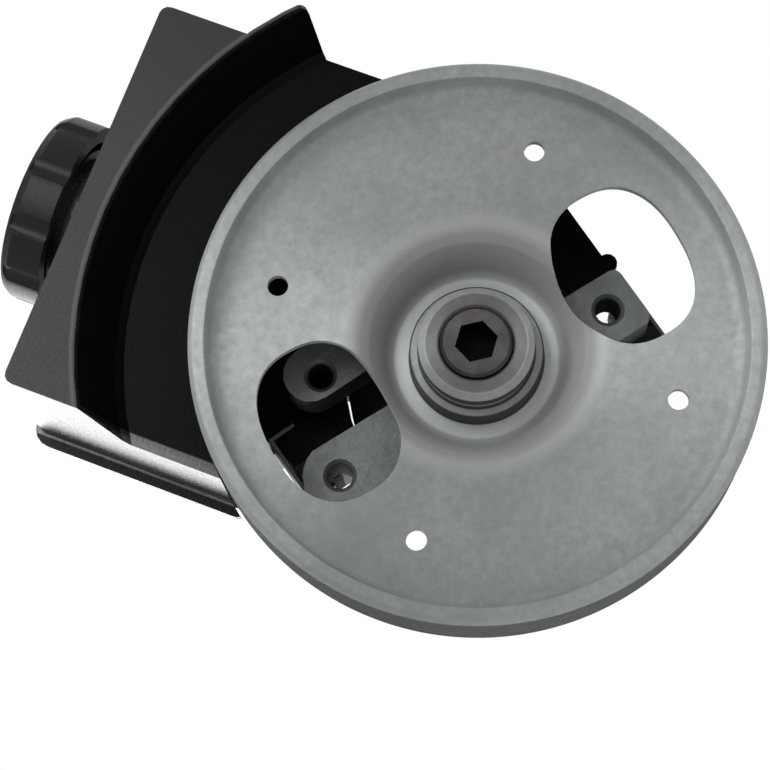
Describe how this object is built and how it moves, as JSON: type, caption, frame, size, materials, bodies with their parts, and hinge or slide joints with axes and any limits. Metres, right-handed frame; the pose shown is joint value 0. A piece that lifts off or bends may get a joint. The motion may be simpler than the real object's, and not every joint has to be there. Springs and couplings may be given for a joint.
{
  "type": "power steering pump",
  "caption": "Vane-type hydraulic pump with a dished, windowed belt pulley, mounting ears and a moulded fluid reservoir with a screw cap.",
  "frame": {"origin": "on the shaft's axis, in the plane where the three mounting ears seat on their bracket", "axes": "+Y along the shaft, away from the pulley; +Z towards the reservoir's cap; +X to the right seen from the pulley"},
  "size_m": [0.15, 0.111, 0.2046],
  "materials": {
    "pulley_steel": "zinc-coated pressed steel, satin",
    "shaft_steel": "dark oiled steel",
    "machined_steel": "ground steel",
    "spring_steel": "spring steel",
    "cast_alloy": "as-cast, with machined faces",
    "bronze": "sintered bronze",
    "black_plastic": "moulded, slight sheen",
    "cap_plastic": "moulded, satin",
    "black_rubber": "matt"
  },
  "bodies": {
    "pump": {"shaft_seal": "black_rubber", "shaft_bush": "bronze", "pump_housing": "cast_alloy", "thrust_plate": "machined_steel", "cam_ring": "machined_steel", "pressure_plate": "machined_steel", "pressure_plate_spring": "spring_steel", "pressure_plate_seal": "black_rubber", "end_cover": "pulley_steel", "end_cover_seal": "black_rubber", "end_cover_retaining_ring": "spring_steel", "dowel_pin_1": "machined_steel", "dowel_pin_2": "machined_steel", "valve_spring": "spring_steel", "outlet_union": "pulley_steel", "outlet_union_seal": "black_rubber", "reservoir_front": "black_plastic", "reservoir_rear": "black_plastic", "reservoir_seal": "black_rubber", "retaining_clip_left": "spring_steel", "retaining_clip_right": "spring_steel"},
    "rotating_group": {"pulley": "pulley_steel", "drive_shaft": "shaft_steel", "rotor": "machined_steel", "rotor_retaining_ring": "spring_steel"},
    "vane_01": {"vane_01": "machined_steel"},
    "vane_02": {"vane_02": "machined_steel"},
    "vane_03": {"vane_03": "machined_steel"},
    "vane_04": {"vane_04": "machined_steel"},
    "vane_05": {"vane_05": "machined_steel"},
    "vane_06": {"vane_06": "machined_steel"},
    "vane_07": {"vane_07": "machined_steel"},
    "vane_08": {"vane_08": "machined_steel"},
    "vane_09": {"vane_09": "machined_steel"},
    "vane_10": {"vane_10": "machined_steel"},
    "spool": {"valve_spool": "machined_steel"},
    "cap_seal": {"cap_seal": "black_rubber"},
    "cap": {"reservoir_cap": "cap_plastic", "dipstick": "cap_plastic"}
  },
  "joints": [
    {"name": "pulley_spin", "type": "hinge", "parent": "pump", "child": "rotating_group", "pos_m": [0, 0, 0], "axis": [0, 1, 0], "continuous": true},
    {"name": "vane_01_slide", "type": "slide", "parent": "rotating_group", "child": "vane_01", "axis": [0.788, 0, 0.6157], "range_m": [-0.0008, 0.00025]},
    {"name": "vane_02_slide", "type": "slide", "parent": "rotating_group", "child": "vane_02", "axis": [0.2756, 0, 0.9613], "range_m": [-0.0008, 0.0017]},
    {"name": "vane_03_slide", "type": "slide", "parent": "rotating_group", "child": "vane_03", "axis": [-0.342, 0, 0.9397], "range_m": [-0.0008, 0.0026]},
    {"name": "vane_04_slide", "type": "slide", "parent": "rotating_group", "child": "vane_04", "axis": [-0.829, 0, 0.5592], "range_m": [-0.0008, 0.0017]},
    {"name": "vane_05_slide", "type": "slide", "parent": "rotating_group", "child": "vane_05", "axis": [-0.9994, 0, -0.0349], "range_m": [-0.0008, 0.00025]},
    {"name": "vane_06_slide", "type": "slide", "parent": "rotating_group", "child": "vane_06", "axis": [-0.788, 0, -0.6157], "range_m": [-0.0008, 0.00025]},
    {"name": "vane_07_slide", "type": "slide", "parent": "rotating_group", "child": "vane_07", "axis": [-0.2756, 0, -0.9613], "range_m": [-0.0008, 0.0017]},
    {"name": "vane_08_slide", "type": "slide", "parent": "rotating_group", "child": "vane_08", "axis": [0.342, 0, -0.9397], "range_m": [-0.0008, 0.0026]},
    {"name": "vane_09_slide", "type": "slide", "parent": "rotating_group", "child": "vane_09", "axis": [0.829, 0, -0.5592], "range_m": [-0.0008, 0.0017]},
    {"name": "vane_10_slide", "type": "slide", "parent": "rotating_group", "child": "vane_10", "axis": [0.9994, 0, 0.0349], "range_m": [-0.0008, 0.00025]},
    {"name": "valve_slide", "type": "slide", "parent": "pump", "child": "spool", "axis": [0, 0, 1], "range_m": [0, 0.005], "stiffness_N_per_m": 2000, "springref_m": -0.003, "deforming": ["valve_spring"]},
    {"name": "cap_rise", "type": "slide", "parent": "pump", "child": "cap_seal", "axis": [0, 0, 1], "range_m": [0, 0.0031]},
    {"name": "cap_turn", "type": "hinge", "parent": "cap_seal", "child": "cap", "pos_m": [0, -0.013, 0.122], "axis": [0, 0, 1], "range_deg": [0, 270]}
  ],
  "couplings": [
    {"joint": "cap_rise", "follows": "cap_turn", "m_per_rad": 0.00063662}
  ]
}
